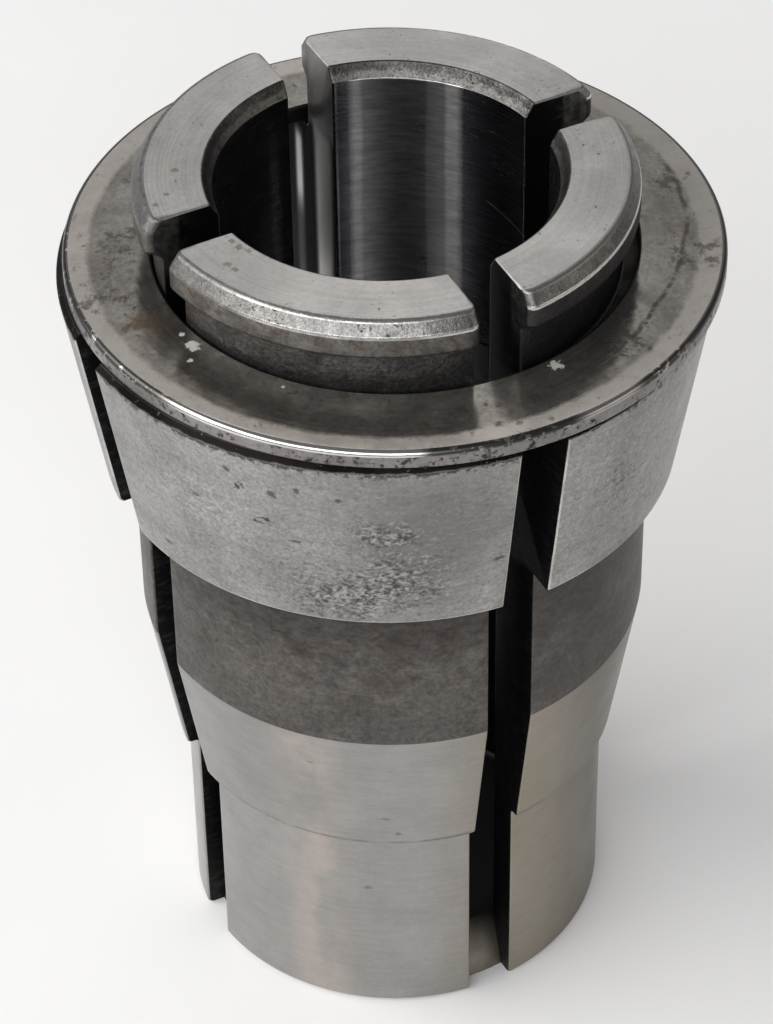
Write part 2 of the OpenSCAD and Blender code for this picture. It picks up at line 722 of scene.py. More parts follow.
@dataclass
class ColletBody:
    """The collet's one-piece body, with its jaws, slots, cones and bore."""

    finishes: dict[str, Steel]
    node: str = "collet_body"
    slot_width: float = 3.7
    slot_count: int = 4
    saw_radius: float = 60.0
    saw_stop: float = 19.7
    saw_overcut: float = 0.5
    bore_r: float = 12.7
    relief_r: float = 14.0
    land_foot: float = 47.25
    land_top: float = 71.25
    mouth_r: float = 13.4
    nose_top: float = NOSE_FACE
    bevel_r: float = 17.9
    lip_r: float = 18.65
    lip_top: float = 71.3
    lip_foot: float = 69.6
    groove_r: float = 17.35
    groove_top: float = 68.9
    shoulder: float = 64.5
    head_r: float = 24.6
    head_edge: float = 0.45
    head_foot: float = 47.25
    head_foot_r: float = 22.07
    neck_r: float = 19.85
    neck_foot: float = 32.7
    cone_foot: float = 19.5
    cone_foot_r: float = 17.83
    tail_r: float = 16.95
    edge: float = 0.3
    soft: float = 0.2
    tail_round: float = 0.3
    cone_round: float = 0.45
    neck_round: float = 0.08
    foot_round: float = 0.18
    head_round: float = 0.32
    groove_round: float = 0.35
    lip_round: float = 0.25
    bevel_round: float = 0.5
    mouth_round: float = 0.18
    slot_edge: float = 0.14
    slot_edge_points: int = 3
    slot_edge_steps: int = 3
    nose_round: float = 0.62
    nose_fade: float = 2.0
    nose_margin: float = 0.1
    jaw_columns: int = 72
    slot_columns: int = 4
    floor_rows: int = 10

    def floor_r(self, z: float) -> float:
        """Gives the radius at which the saw stopped at a height of its run-out."""
        deep = self.bore_r - self.saw_overcut + self.saw_radius
        return deep - math.sqrt(self.saw_radius ** 2 - (self.saw_stop - z) ** 2)

    def floor_z(self, r: float) -> float:
        """Gives the height at which the saw's rim crosses a radius."""
        reach = self.bore_r - self.saw_overcut + self.saw_radius - r
        return self.saw_stop - math.sqrt(self.saw_radius ** 2 - reach ** 2)

    def section(self) -> tuple[list[SectionPoint], int]:
        """Draws the section from the slot's mouth in the tail's end, up the outside and down the bore.

        Returns:
            The section's points, and the number of the one where the slot ends in the relief.
        """
        stop = Corner(self.relief_r, self.floor_z(self.relief_r), 0.0, "relief")
        points = Section([
            Corner(self.floor_r(0.0), 0.0, 0.0, "tail_end"),
            Corner(self.tail_r - self.edge, 0.0, self.soft, "tail"),
            Corner(self.tail_r, self.edge, self.soft, "tail"),
            Corner(self.tail_r, self.cone_foot, self.tail_round, "tail"),
            Corner(self.cone_foot_r, self.cone_foot, self.cone_round, "rear_cone"),
            Corner(self.neck_r, self.neck_foot, 0.0, "neck"),
            Corner(self.neck_r, self.head_foot, self.neck_round, "neck"),
            Corner(self.head_foot_r - self.edge, self.head_foot, self.foot_round, "worn"),
            Corner(self.head_foot_r, self.head_foot + self.edge, self.head_round, "head", "worn"),
            Corner(self.head_r, self.shoulder - self.head_edge, self.soft, "head_edge"),
            Corner(self.head_r - self.head_edge, self.shoulder, self.soft, "shoulder"),
            Corner(self.groove_r, self.shoulder, self.soft, "groove"),
            Corner(self.groove_r, self.groove_top, self.groove_round, "groove"),
            Corner(self.lip_r, self.lip_foot, self.lip_round, "lip"),
            Corner(self.lip_r, self.lip_top, self.bevel_round, "bevel", "worn_nose_with_painted_light"),
            Corner(self.bevel_r, self.nose_top, self.bevel_round, "nose", "worn_nose_with_painted_light"),
            Corner(self.mouth_r, self.nose_top, self.mouth_round, "mouth"),
            Corner(self.bore_r, self.land_top, self.soft, "bore"),
            Corner(self.bore_r, self.land_foot, self.soft, "relief"),
            Corner(self.relief_r, self.land_foot - (self.relief_r - self.bore_r), self.soft, "relief"),
            stop,
            Corner(self.relief_r, self.edge, 0.0, "relief"),
            Corner(self.relief_r + self.edge, 0.0, 0.0, "tail_end"),
        ]).points
        end = min(range(len(points)), key=lambda i: math.hypot(points[i].r - stop.r, points[i].z - stop.z))
        return points, end

    def _edge(self, i: int, end: int) -> float:
        """Gives the wear of the slot's edge at a point of the section, none at the slot's two ends."""
        return self.slot_edge * min(1.0, i / self.slot_edge_points, (end - i) / self.slot_edge_points)

    def _round(self, point: SectionPoint) -> float:
        """Gives the further rounding of a jaw's outer corner, at the nose alone.

        Args:
            point: The point of the section.
        Returns:
            The rounding.
        """
        if point.z < self.groove_top + self.nose_margin:
            return 0.0
        under_lip = point.z < self.lip_foot + self.lip_round
        inner = self.groove_r if under_lip else self.bevel_r - self.nose_fade
        outer = self.lip_r if under_lip else self.bevel_r
        return self.nose_round * max(0.0, min(1.0, (point.r - inner) / (outer - inner)))

    def _turn(self, slot: int) -> float:
        """Gives the turn of a slot's middle."""
        return (slot + 0.5) * 2 * math.pi / self.slot_count

    def _jaw(self, mesher: Mesher, r: float, z: float, edge: float, jaw: int) -> list[Vertex]:
        """Adds a row of vertices across one jaw, short of the slots' worn edges."""
        half = math.asin((self.slot_width / 2 + edge) / r)
        return mesher.arc(r, z, self._turn(jaw - 1) + half, self._turn(jaw) - half, self.jaw_columns)

    def _gap(self, mesher: Mesher, r: float, z: float, slot: int) -> list[Vertex]:
        """Adds a row of vertices across one slot."""
        half = math.asin(self.slot_width / 2 / r)
        return mesher.arc(r, z, self._turn(slot) - half, self._turn(slot) + half, self.slot_columns)

    def _walls(self, mesher: Mesher, points: Sequence[SectionPoint], floor: Sequence[tuple[float, float]],
               slot: int, sign: int) -> None:
        """Adds one wall of a slot with the worn edge round it.

        Args:
            mesher: The mesh.
            points: The sawn part of the section.
            floor: Points of the saw's floor, from the relief to the tail's end.
            slot: The slot's number.
            sign: 1 for the wall that lies further round, -1 for the other.
        """
        half, middle, end = self.slot_width / 2, self._turn(slot), len(points) - 1
        turns = [k / self.slot_edge_steps * math.pi / 2 for k in range(self.slot_edge_steps + 1)]
        rows = []
        for i, p in enumerate(points):
            wear, round_off = self._edge(i, end), self._round(p)
            row = []
            for turn in turns:
                deep = wear * (1 - math.cos(turn))
                side = half + (wear + round_off) * (1 - math.sin(turn))
                r = p.r + p.inward[0] * deep - round_off * (1 - math.cos(turn))
                row.append(mesher.vertex(r, p.z + p.inward[1] * deep, middle + sign * math.asin(side / r)))
            rows.append(row)
        mesher.grid(rows, ["worn" if p.finish == "head" else p.finish for p in points])
        rim = [mesher.vertex(r, z, middle + sign * math.asin(half / r)) for r, z in floor[1:-1]]
        mesher.face([*(row[-1] for row in rows), *rim], "sawn", smooth=False)

    def build(self) -> bpy.types.Object:
        """Builds the body's mesh.

        Returns:
            The object.
        """
        mesher = Mesher("collet_body_finish", self.finishes)
        points, end = self.section()
        mouth, stop = points[0], points[end]
        heights = [stop.z + (mouth.z - stop.z) * k / self.floor_rows for k in range(1, self.floor_rows + 1)]
        floor = [(stop.r, stop.z), *((self.floor_r(z), z) for z in heights)]
        wear = [self._edge(i, end) + self._round(p) if i <= end else 0.0 for i, p in enumerate(points)]
        for jaw in range(self.slot_count):
            rows = [self._jaw(mesher, p.r, p.z, edge, jaw) for p, edge in zip(points, wear)]
            mesher.grid([*rows, rows[0]], [p.finish for p in points])
        for slot in range(self.slot_count):
            joined = [self._gap(mesher, p.r, p.z, slot) for p in [*points[end:], mouth]]
            mesher.grid(joined, [p.finish for p in points[end:]])
            mesher.grid([self._gap(mesher, r, z, slot) for r, z in floor], ["ramp"] * self.floor_rows)
            for sign in (-1, 1):
                self._walls(mesher, points[:end + 1], floor, slot, sign)
        log.info("section of %d points, slot ends at number %d", len(points), end)
        made = mesher.object()
        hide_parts(self.node)
        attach(made, "collet")
        return made


@dataclass
class CaptiveRing:
    """The loose ring on the head's shoulder."""

    finishes: dict[str, Steel]
    node: str = "captive_ring"
    bore_r: float = 18.05
    rim: float = 0.42
    foot_rim: float = 0.252
    bore_edge: float = 0.2
    columns: int = 360

    def build(self) -> bpy.types.Object:
        """Builds the ring's mesh in its solid's box.

        Returns:
            The object.
        """
        low, high = (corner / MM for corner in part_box(self.node))
        middle = (low + high) / 2
        outer = (high.x - low.x) / 2
        points = Section([
            Corner(self.bore_r, low.z, self.bore_edge, "under"),
            Corner(outer, low.z, self.foot_rim, "rim"),
            Corner(outer, high.z, self.rim, "top", "rolled"),
            Corner(self.bore_r, high.z, self.bore_edge, "hole"),
        ]).points
        mesher = Mesher("captive_ring_finish", self.finishes, (middle.x, middle.y))
        rows = [mesher.arc(p.r, p.z, 0.0, 2 * math.pi, self.columns) for p in [*points, points[0]]]
        mesher.grid(rows, [p.finish for p in points])
        made = mesher.object()
        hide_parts(self.node)
        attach(made, "ring")
        return made


def toward(azimuth: float, elevation: float) -> Vector:
    """Gives the direction from the collet to something round it.

    Args:
        azimuth: Degrees round from the front.
        elevation: Degrees above the floor.
    Returns:
        The direction.
    """
    a, e = math.radians(azimuth), math.radians(elevation)
    return Vector((math.sin(a) * math.cos(e), -math.cos(a) * math.cos(e), math.sin(e)))


@dataclass(frozen=True)
class Lens:
    """The camera's place and aim, as found from the photograph's turned edges."""

    azimuth: float = 18.6
    elevation: float = 37.478
    distance: float = 278.8
    target_z: float = RING_FACE
    pan: float = -0.0743
    tilt: float = 4.1935
    roll: float = 0.8952
    focal_pixels: float = 3760.3
    sensor: float = 36.0
    clip: tuple[float, float] = (0.01, 20.0)

    def place(self) -> bpy.types.Object:
        """Makes the scene's camera.

        Returns:
            The camera.
        """
        back, right = toward(self.azimuth, self.elevation), toward(self.azimuth + 90.0, 0.0)
        turn = Matrix((right, back.cross(right), back))
        roll, tilt, pan = (Matrix.Rotation(math.radians(angle), 3, axis) for angle, axis in (
            (self.roll, "Z"), (self.tilt, "X"), (self.pan, "Y")))
        data = bpy.data.cameras.new("camera")
        data.sensor_width = self.sensor
        data.lens = self.focal_pixels * self.sensor / PHOTO_HEIGHT
        data.clip_start, data.clip_end = self.clip
        made = add_object("camera", data)
        pose = (roll @ tilt @ pan @ turn).transposed().to_4x4()
        pose.translation = (back * self.distance + Vector((0.0, 0.0, self.target_z))) * MM
        made.matrix_world = pose
        bpy.context.scene.camera = made
        return made


@dataclass(frozen=True)
class Softbox:
    """A flat soft light that faces a point of the collet."""

    name: str
    azimuth: float
    elevation: float
    distance: float
    width: float
    height: float
    power: float
    colour: Colour = (1.0, 1.0, 1.0)
    aim_z: float = 40.0

    def place(self) -> bpy.types.Object:
        """Makes the light.

        Returns:
            The light.
        """
        back = toward(self.azimuth, self.elevation)
        data = bpy.data.lights.new(self.name, "AREA")
        data.shape = "RECTANGLE"
        data.size = self.width * MM
        data.size_y = self.height * MM
        data.energy = self.power
        data.color = self.colour
        made = add_object(self.name, data)
        made.location = (back * self.distance + Vector((0.0, 0.0, self.aim_z))) * MM
        made.rotation_euler = back.to_track_quat("Z", "Y").to_euler()
        return made


@dataclass
class Studio:
    """The pale floor with painted shade under the bore, the soft lights and the camera."""

    floor_size: float = 4000.0
    floor_colour: Colour = (0.86, 0.86, 0.86)
    shade_r: float = 13.5
    shade_fade: float = 1.5
    shade_colour: Colour = (0.02, 0.02, 0.02)
    sky: Colour = (0.20, 0.20, 0.21)
    lens: Lens = Lens()
    lights: tuple[Softbox, ...] = (
        Softbox("left_window", -66.0, 34.0, 900.0, 900.0, 600.0, 7.3, (1.0, 0.99, 0.97)),
        Softbox("front_window", 0.0, 33.0, 950.0, 1100.0, 500.0, 6.3),
        Softbox("back_panel", 198.6, 38.0, 900.0, 1000.0, 560.0, 2.0, (1.0, 0.985, 0.96)),
        Softbox("right_bounce", 100.0, 20.0, 900.0, 700.0, 400.0, 0.8, (1.0, 0.91, 0.77)),
    )

    def _floor(self) -> None:
        """Lays the floor, with painted shade, nearly black, under the bore."""
        half = self.floor_size / 2 * MM
        data = bpy.data.meshes.new("floor")
        corners = [(-half, -half, 0), (half, -half, 0), (half, half, 0), (-half, half, 0)]
        data.from_pydata(corners, [], [range(4)])
        graph = Graph("pale_floor")
        place = Place(graph)
        colour = graph.dim(self.floor_colour, 0.98 + place.noise(0.05) * 0.04)
        # Painted shade: the floor is darkened under the bore, where it shows through the collet.
        under = place.radius.ramp(self.shade_r + self.shade_fade, self.shade_r)
        colour = graph.mix(under, colour, self.shade_colour)
        data.materials.append(graph.finish({"Base Color": colour, "Roughness": 0.7}))
        made = add_object("floor", data)
        made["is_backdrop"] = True

    def _sky(self) -> None:
        """Lights the scene evenly from all round."""
        world = bpy.data.worlds.new("studio")
        world.use_nodes = True
        world.node_tree.nodes["Background"].inputs["Color"].default_value = (*self.sky, 1.0)
        bpy.context.scene.world = world

    def build(self) -> None:
        """Sets the studio up round the collet."""
        self._floor()
        self._sky()
        for light in self.lights:
            light.place()
        self.lens.place()
        bpy.context.scene.view_settings.view_transform = "Standard"


def etch_head(surface: Surface) -> None:
    """Roughens the head with the etched patches and the dirt under the ring, and paints shade on the middle
    of its front and on its left side.

    Args:
        surface: The head's maps.
    """
    place = surface.place
    upper = Spot(6.6, -22.4, 57.4, 4.6, 2.3, 0.8).mask(place, 0.9) * 0.9
    lower_right = Spot(21.5, -9.8, 56.0, 6.0, 5.0, 1.0).mask(place, 0.9) * 0.5
    zone = Spot(6.2, -22.0, 51.0, 10.5, 6.8, 1.0).mask(place, 0.95).most(upper).most(lower_right)
    # Painted shade: the middle of the head's front is darker, as where it reflects less light.
    dull = Spot(10.0, -21.0, 57.5, 10.0, 14.0).mask(place, 0.9)
    surface.paint(dull * 0.68, (0.17, 0.163, 0.158))
    wisp = place.streaks(0.3, 1.8, 4.0, 0.62, 0.4) - 0.5
    # The tone's last term is painted shade on the head's left side.
    surface.shade(1 + wisp * 0.5 - zone * 0.16 - place.x.ramp(-10.0, -19.0) * 0.12)
    grit = place.streaks(2.3, 3.105, 4.0, 0.64, 0.6)
    frost = Spot(-6.0, -22.6, 56.8, 6.5, 6.0, 0.8).mask(place, 0.9)
    dark = (grit + zone * 0.12).ramp(0.59, 0.71)
    light = (grit - zone * 0.07 - frost * 0.06).ramp(0.43, 0.32)
    surface.paint(dark * (0.36 + zone * 0.44), (0.05, 0.045, 0.04), 0.5)
    surface.paint(light * (0.25 + zone * 0.35 + frost * 0.4), (0.54, 0.53, 0.51))
    dots = (Spot(-7.2, -22.5, 57.6, 0.55, 0.22, 1.0), Spot(-10.8, -19.6, 49.7, 0.5, 0.28, 1.0),
            Spot(-4.2, -23.9, 62.1, 0.4, 0.4, 1.0), Spot(-0.8, -24.1, 60.6, 0.5, 0.5, 1.0),
            Spot(1.1, -24.2, 61.5, 0.32, 0.45, 1.0), Spot(4.1, -23.8, 61.0, 0.45, 0.25, 1.0),
            Spot(0.6, -23.3, 55.9, 0.6, 0.16, 1.0), Spot(14.2, -18.1, 53.4, 0.6, 0.26, 1.0))
    surface.dot(dots, 0.6, 0.75, (0.07, 0.06, 0.052), 0.5)
    surface.height = surface.height - grit * (0.02 + zone * 0.06)
    rim = place.z.ramp(63.1, 64.1)
    dirt = (place.noise(1.9, 3.0, 0.6) + rim * 0.16).ramp(0.60, 0.68)
    surface.paint(dirt * rim, (0.05, 0.042, 0.036), 0.6)


def lighten_seam_foot(surface: Surface) -> None:
    """Lightens the lower part of the head's top edge to the head's own tone, below the seam's dirt and
    painted shade.
    """
    frayed = surface.place.z + (surface.place.noise(1.1, 4.0, 0.65) - 0.5) * 0.3
    surface.paint(frayed.ramp(64.12, 64.0), (0.15, 0.144, 0.138), 0.5)


def mark_and_shade_tail(surface: Surface) -> None:
    """Lays the pale tint at the front, the line where the cone begins and a few dark dots on the tail and
    rear cone, and paints a tan shade and a darker shade on their right side and a little shade on the rear
    cone's left.

    Args:
        surface: The tail's maps.
    """
    place = surface.place
    right = place.right()
    wisp = place.streaks(0.25, 0.12, 4.0, 0.6).ramp(0.3, 0.7)
    front = place.y.ramp(-8.0, -13.0)
    surface.paint((place.x + 1.0).size().ramp(3.6, 0.6) * front * wisp, (0.46, 0.405, 0.375))
    # Painted shade: tan towards the right, as the reflection there, and darker at the far right.
    surface.paint(right.ramp(2.0, 9.0) * (0.65 + wisp * 0.3), (0.285, 0.25, 0.196))
    surface.paint(right.ramp(11.0, 17.5) * 0.72, (0.12, 0.108, 0.086))
    brushed = place.streaks(0.35, 2.6, 4.0, 0.65) - 0.5
    on_cone = place.z.ramp(19.0, 20.5)
    # The tone's last term is painted shade on the rear cone's left side.
    surface.shade(1.01 + brushed * 0.3 - right.ramp(-4.0, -14.0) * on_cone * 0.13)
    line = (place.z - 19.75).size().ramp(0.42, 0.1)
    surface.paint(line * place.noise(0.5).ramp(0.3, 0.6) * 0.6, (0.13, 0.122, 0.112))
    dots = (Spot(5.9, -17.1, 21.0, 0.45, 0.3, 0.8), Spot(5.0, -17.7, 23.0, 0.5, 0.2, 0.8),
            Spot(3.1, -16.7, 13.5, 0.6, 0.3, 0.8), Spot(-0.4, -19.3, 29.3, 0.45, 0.14, 1.0))
    surface.dot(dots, 0.8, 0.5, (0.09, 0.08, 0.07), 0.5)


def shade_and_light_slots(surface: Surface) -> None:
    """Paints shade on the walls of the slots, nearly black below the ring and all over but for the upper
    part of the slot at the back left, and paints the light that falls in bands on that slot's wall;
    scratches and a mottled grey by the lip are laid over it.

    Args:
        surface: The sawn walls' maps.
    """
    place = surface.place
    painted_shade_elsewhere = 1 - (place.y - place.x).ramp(5.0, 9.0) * place.z.ramp(40.0, 46.0)
    painted_shade_under_ring = place.z.ramp(66.3, 64.6)
    inner_light_band = place.radius.within(13.4, 16.2, 0.5) * 0.95
    outer_light_band = place.radius.within(18.5, 19.7, 0.4) * place.z.ramp(63.8, 62.0)
    painted_light_bands = inner_light_band.most(outer_light_band * (0.25 + place.z.ramp(54.0, 58.0) * 0.7))
    # Painted shade below the ring, with painted light in two bands on the back left slot's wall.
    surface.paint(painted_shade_under_ring, (0.012, 0.012, 0.013), 0.85)
    surface.paint(painted_shade_under_ring * painted_light_bands, (0.42, 0.415, 0.40), 0.34)
    # Painted shade over every wall but the upper part of the back left slot's.
    surface.paint(painted_shade_elsewhere, (0.014, 0.014, 0.015), 0.5)
    scratch = place.streaks(0.7, 2.2, 4.0, 0.65).ramp(0.45, 0.75)
    surface.paint(painted_shade_elsewhere * scratch * place.radius.ramp(14.0, 16.0) * 0.5, (0.09, 0.088, 0.085))
    mottled = place.noise(1.6, 4.0, 0.65).ramp(0.4, 0.62)
    by_lip = place.radius.ramp(15.7, 16.2) * place.z.ramp(66.6, 68.6)
    surface.paint(by_lip * (0.3 + mottled * 0.6), (0.17, 0.165, 0.158), 0.45)


def shade_ramp(surface: Surface) -> None:
    """Darkens the saw's run-out towards the bore."""
    surface.paint(surface.place.z.ramp(1.0, 5.4) * 0.97, (0.014, 0.012, 0.011))


def paint_bore_reflections_and_marks(surface: Surface) -> None:
    """Paints upright streaks of reflected light on the blued bore, at fixed turns round the axis, and lays
    brush marks and two hair-fine scratches over it.

    Args:
        surface: The bore's maps.
    """
    place = surface.place
    wander = (place.streaks(0.3, 0.12, 3.0) - 0.5) * 2.0
    turn = place.angle * math.degrees(1.0) + wander
    # Painted reflections: pale upright bands at given turns round the axis.
    narrow_reflection = turn.within(116.6, 120.6, 1.6) * 0.8
    wide_reflection = turn.within(82.2, 88.4, 1.8).most(turn.within(87.0, 95.4, 1.6) * 0.55)
    reflection_by_left_slot = turn.within(148.5, 152.5, 1.4) * place.z.within(54.0, 68.0, 3.0) * 0.3
    faint_reflections = reflection_by_left_slot.most(turn.within(93.0, 120.0, 2.5) * 0.34)
    level = place.streaks(0.25, 3.2, 6.0, 0.75).ramp(0.1, 0.85)
    surface.paint(narrow_reflection.most(wide_reflection).most(faint_reflections) * (0.62 + level * 0.38), (0.95, 0.93, 0.90), 0.42)
    surface.shade(1 + (place.streaks(0.5, 2.4, 5.0, 0.7) - 0.5) * 1.3)
    for hair, lean in ((Spot(6.3, 11.0, 60.7, 3.2), 0.35), (Spot(9.6, 8.3, 64.1, 2.4), -0.5)):
        off = (place.z - hair.z + (place.x - hair.x) * lean + wander * 0.1).size().ramp(0.09, 0.02)
        surface.paint(off * hair.mask(place, 0.4) * 0.7, (0.5, 0.49, 0.48), 0.4)


def shade_nose_sides(surface: Surface) -> None:
    """Paints shade over the bevel's highlight at the left of the nose, with grit in it, and a little shade
    at the right.

    Args:
        surface: The bevel's maps.
    """
    place = surface.place
    # Painted shade over the highlight at the left, and a little painted shade at the right.
    left = place.x.ramp(-2.5, -8.0)
    surface.paint(left * 0.8, (0.118, 0.115, 0.11), 0.5)
    grit = place.noise(2.6, 4.0, 0.7) - 0.5
    surface.shade(1 + left * grit * 1.6 - place.x.ramp(8.0, 13.0) * 0.3)


def shade_under_lip(surface: Surface) -> None:
    """Paints shade on the groove and the lip towards the right."""
    surface.paint(surface.place.right().ramp(4.0, 12.0) * 0.78, (0.027, 0.027, 0.03), 0.5)


def light_and_shade_nose_edges(surface: Surface) -> None:
    """Paints shade over the upper edge of the nose at the right, so that it stays bright at the front alone,
    and a highlight on the lower edge at the right.

    Args:
        surface: The edges' maps.
    """
    upper = surface.place.z.ramp(71.75, 72.0)
    right = surface.place.x.ramp(7.0, 10.5)
    # Painted shade on the upper edge and a painted highlight on the lower edge, both at the right.
    surface.paint(upper * right * 0.85, (0.25, 0.244, 0.236), 0.42)
    surface.paint((1 - upper) * right * 0.8, (0.62, 0.61, 0.59), 0.24)


def line_and_shade_neck(surface: Surface) -> None:
    """Turns a fine line near the top of the neck, scuffs the neck lightly, browns it in patches, paints
    ragged shade on its upper part under the head and paints shade on its right side.

    Args:
        surface: The neck's maps.
    """
    place = surface.place
    surface.paint((place.z - 46.35).size().ramp(0.22, 0.05) * 0.5, (0.04, 0.038, 0.036))
    surface.paint(place.streaks(0.3, 1.4, 5.0, 0.7).ramp(0.56, 0.72) * 0.35, (0.21, 0.2, 0.19), 0.36)
    brown = place.noise(0.35, 5.0, 0.7, 0.4).ramp(0.48, 0.66)
    surface.paint(brown * place.z.ramp(33.0, 43.0) * 0.75, (0.07, 0.057, 0.048), 0.5)
    # Painted shade under the head's overhang, with a ragged lower edge.
    cloud = place.noise(0.6, 4.0, 0.6) - 0.5
    surface.paint((place.z + cloud * 7.0).ramp(39.0, 45.6) * 0.72, (0.056, 0.05, 0.046), 0.5)
    mottled = place.streaks(0.8, 1.2, 5.0, 0.72, 0.5) - 0.5
    surface.shade(1.02 + mottled * (0.7 + place.z.ramp(36.0, 44.0) * 1.3))
    # Painted shade on the neck's right side.
    surface.paint(place.right().ramp(6.0, 15.0) * 0.45, (0.075, 0.068, 0.062))


def light_and_shade_nose(surface: Surface) -> None:
    """Paints light on the front of the nose and shade on its sides, and adds the brown smudges.

    Args:
        surface: The nose's maps.
    """
    # Painted light at the front and painted shade at the sides.
    near = surface.place.near().ramp(-4.0, 14.0)
    painted_shade_sides = surface.place.right().size().ramp(3.0, 15.0)
    surface.shade(1.02 + near * 0.14 - painted_shade_sides * 0.2)
    front = level_spots(NOSE_FACE, 1.2, (-7.7, -11.7, 0.34), (-7.0, -12.2, 0.42), (-6.2, -12.4, 0.3),
                        (-7.1, -14.3, 0.4), (-6.4, -14.7, 0.36))
    left = level_spots(NOSE_FACE, 1.0, (-14.1, -7.9, 0.3), (-14.6, -5.0, 0.35), (-14.4, -9.3, 0.3))
    surface.dot(front + left, 0.5, 0.6, (0.13, 0.108, 0.09), 0.5)


def wear_mouth(surface: Surface) -> None:
    """Brightens the lower half of the mouth's bevel, where the bars have scraped it.

    Args:
        surface: The bevel's maps.
    """
    place = surface.place
    scraped = (place.z + (place.noise(1.2, 5.0, 0.7) - 0.5) * 0.9).ramp(71.95, 71.65)
    torn = place.noise(2.2, 4.0, 0.65).ramp(0.34, 0.56)
    surface.paint(scraped * torn * 0.7, (0.19, 0.184, 0.176), 0.4)


def shade_rolled_edge(surface: Surface) -> None:
    """Paints shade over the ring's rolled edge, all but the front left, a spot at the right and scattered
    glints, where its own highlight stays.

    Args:
        surface: The edge's maps.
    """
    place = surface.place
    # Painted shade, a dark reflection, over the rest of the rolled edge.
    front = (place.x * 0.05 - place.y).ramp(21.2, 23.4) * place.x.ramp(10.6, 9.4)
    right = Spot(20.8, -13.2, RING_FACE, 3.6, 3.0).mask(place)
    glint = place.noise(1.3, 3.0, 0.6).ramp(0.55, 0.62) * place.y.ramp(-3.0, -9.0)
    surface.paint(1 - front.most(right * 0.6).most(glint * 0.5), (0.075, 0.072, 0.068), 0.3)


def lay_ring_marks_and_shade(surface: Surface) -> None:
    """Adds the worn bands, the smear, the blots and the spatter of paint to the ring's face, and paints
    shade on its sides and its back.

    Args:
        surface: The face's maps.
    """
    place = surface.place
    frayed = (place.noise(0.5, 5.0, 0.65) - 0.5) * 0.9
    cloud = place.noise(0.7, 5.0, 0.65, 0.3).ramp(0.3, 0.7)
    band = (place.radius + place.y * 0.014 + frayed).ramp(22.35, 22.9) * (0.7 + cloud * 0.3)
    surface.paint(band * 0.85, (0.43, 0.398, 0.363), 0.36)
    surface.metal = surface.metal * (1 - band * 0.65)
    # Painted shade on the sides and the back of the ring's face.
    painted_shade_sides = place.right().size().ramp(5.0, 21.0)
    surface.shade(1 - painted_shade_sides * 0.3 - place.y.ramp(2.0, 14.0) * 0.1)
    blots = level_spots(RING_FACE, 0.0, (-19.0, -7.0, 4.5), (-17.4, -12.4, 4.2), (-13.8, -14.6, 3.2),
                        (22.0, 5.0, 3.5), (19.5, -6.2, 3.5), (18.2, 12.5, 3.0))
    near_blots = reduce(Value.most, [spot.mask(place, 0.9) for spot in blots])
    dark = (place.noise(0.8, 7.0, 0.78) + near_blots * 0.12).ramp(0.57, 0.70)
    surface.paint(dark * 0.85, (0.055, 0.046, 0.036), 0.45)
    dots = level_spots(RING_FACE, 0.9, (12.6, -16.3, 0.3), (13.5, -16.0, 0.55), (14.5, -16.5, 0.4),
                       (14.1, -18.1, 0.45), (15.4, -17.5, 0.4), (17.4, -16.4, 0.35))
    surface.dot(dots, 0.8, 0.75, (0.09, 0.07, 0.052), 0.45)
    surface.dot(level_spots(RING_FACE, 1.0, (-13.3, -14.6, 2.4)), 0.9, 0.55, (0.13, 0.085, 0.055), 0.4)
    wander = place.noise(0.3, 3.0) - 0.5
    arc = (place.radius - place.y.most(0.0) * 0.1 + wander * 0.9 - 20.8).size().ramp(0.32, 0.03)
    torn = place.streaks(0.9, 1.0, 5.0, 0.7).ramp(0.37, 0.54)
    east = place.x.ramp(15.0, 18.5) * place.y.ramp(-14.5, -11.0)
    surface.paint(arc * torn * east * 0.85, (0.05, 0.043, 0.036), 0.5)
    specks = level_spots(RING_FACE, 0.9, (-9.3, -16.3, 0.62), (-10.5, -15.3, 0.26), (-1.6, -18.7, 0.16))
    specks += level_spots(RING_FACE, 1.1, (-8.9, -17.9, 0.26), (16.1, -10.7, 0.55))
    for speck in specks:
        there = speck.mask(place, 0.3)
        surface.paint(there, (0.46, 0.45, 0.425), 0.6)
        surface.metal = surface.metal * (1 - there)
        surface.height = surface.height + there * 0.02


